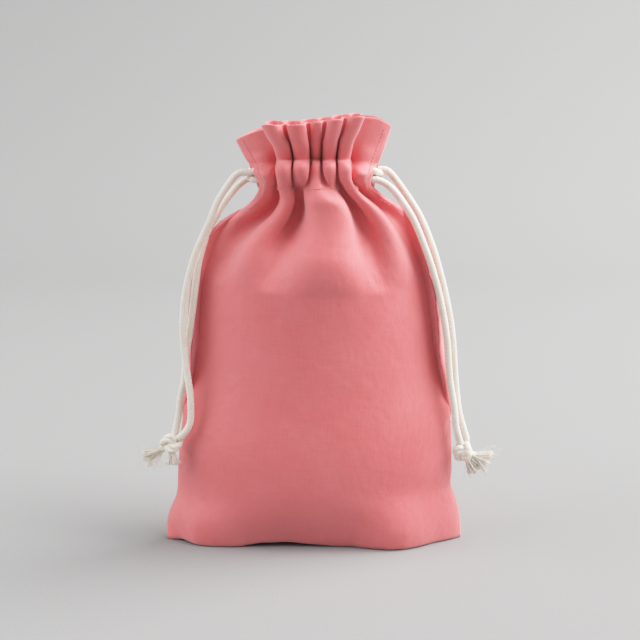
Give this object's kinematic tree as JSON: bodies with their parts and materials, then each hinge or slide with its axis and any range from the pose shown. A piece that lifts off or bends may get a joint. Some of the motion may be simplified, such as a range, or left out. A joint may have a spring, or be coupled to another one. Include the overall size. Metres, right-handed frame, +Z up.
{
  "type": "fabric gift sack",
  "caption": "Drawstring gift sack in soft cotton cloth, standing on its folded base, with a gathered neck, a frill above it and knotted drawcords at both sides.",
  "frame": {"origin": "centre of the base of the sack, on the surface it stands on", "axes": "+Z up to the neck, +X to the right seen from the front, front panel towards -Y"},
  "size_m": [0.2367, 0.0792, 0.2845],
  "materials": {
    "cotton_cloth": "soft matt plain-weave cotton, coral pink, with fine slubs",
    "cotton_cord": "natural undyed round braided cotton cord with frayed ends",
    "sewing_thread": "matt sewing thread dyed to match the cloth"
  },
  "bodies": {
    "sack": {"front_panel": "cotton_cloth", "back_panel": "cotton_cloth", "front_channel": "cotton_cloth", "back_channel": "cotton_cloth", "front_frill": "cotton_cloth", "back_frill": "cotton_cloth", "left_seam_thread": "sewing_thread", "right_seam_thread": "sewing_thread", "bottom_seam_thread": "sewing_thread", "front_lower_stitch": "sewing_thread", "front_upper_stitch": "sewing_thread", "front_left_slit_stitch": "sewing_thread", "front_right_slit_stitch": "sewing_thread", "back_lower_stitch": "sewing_thread", "back_upper_stitch": "sewing_thread", "back_left_slit_stitch": "sewing_thread", "back_right_slit_stitch": "sewing_thread", "left_cord_loop": "cotton_cord", "right_cord_loop": "cotton_cord"},
    "left_cord_run": {"left_front_run": "cotton_cord", "left_back_run": "cotton_cord"},
    "left_cord_tail": {"left_front_strand": "cotton_cord", "left_back_strand": "cotton_cord", "left_knot": "cotton_cord", "left_tassel_1": "cotton_cord", "left_tassel_2": "cotton_cord"},
    "right_cord_run": {"right_front_run": "cotton_cord", "right_back_run": "cotton_cord"},
    "right_cord_tail": {"right_front_strand": "cotton_cord", "right_back_strand": "cotton_cord", "right_knot": "cotton_cord", "right_tassel_1": "cotton_cord", "right_tassel_2": "cotton_cord"}
  },
  "joints": [
    {"name": "left_cord_pull", "type": "slide", "parent": "sack", "child": "left_cord_run", "axis": [-1, 0, 0], "range_m": [0, 0.02]},
    {"name": "left_cord_swing", "type": "hinge", "parent": "left_cord_run", "child": "left_cord_tail", "pos_m": [-0.04615, 0, 0.251], "axis": [0, 1, 0], "range_deg": [0, 60]},
    {"name": "right_cord_pull", "type": "slide", "parent": "sack", "child": "right_cord_run", "axis": [1, 0, 0], "range_m": [0, 0.02]},
    {"name": "right_cord_swing", "type": "hinge", "parent": "right_cord_run", "child": "right_cord_tail", "pos_m": [0.04615, 0, 0.251], "axis": [0, -1, 0], "range_deg": [0, 60]}
  ]
}
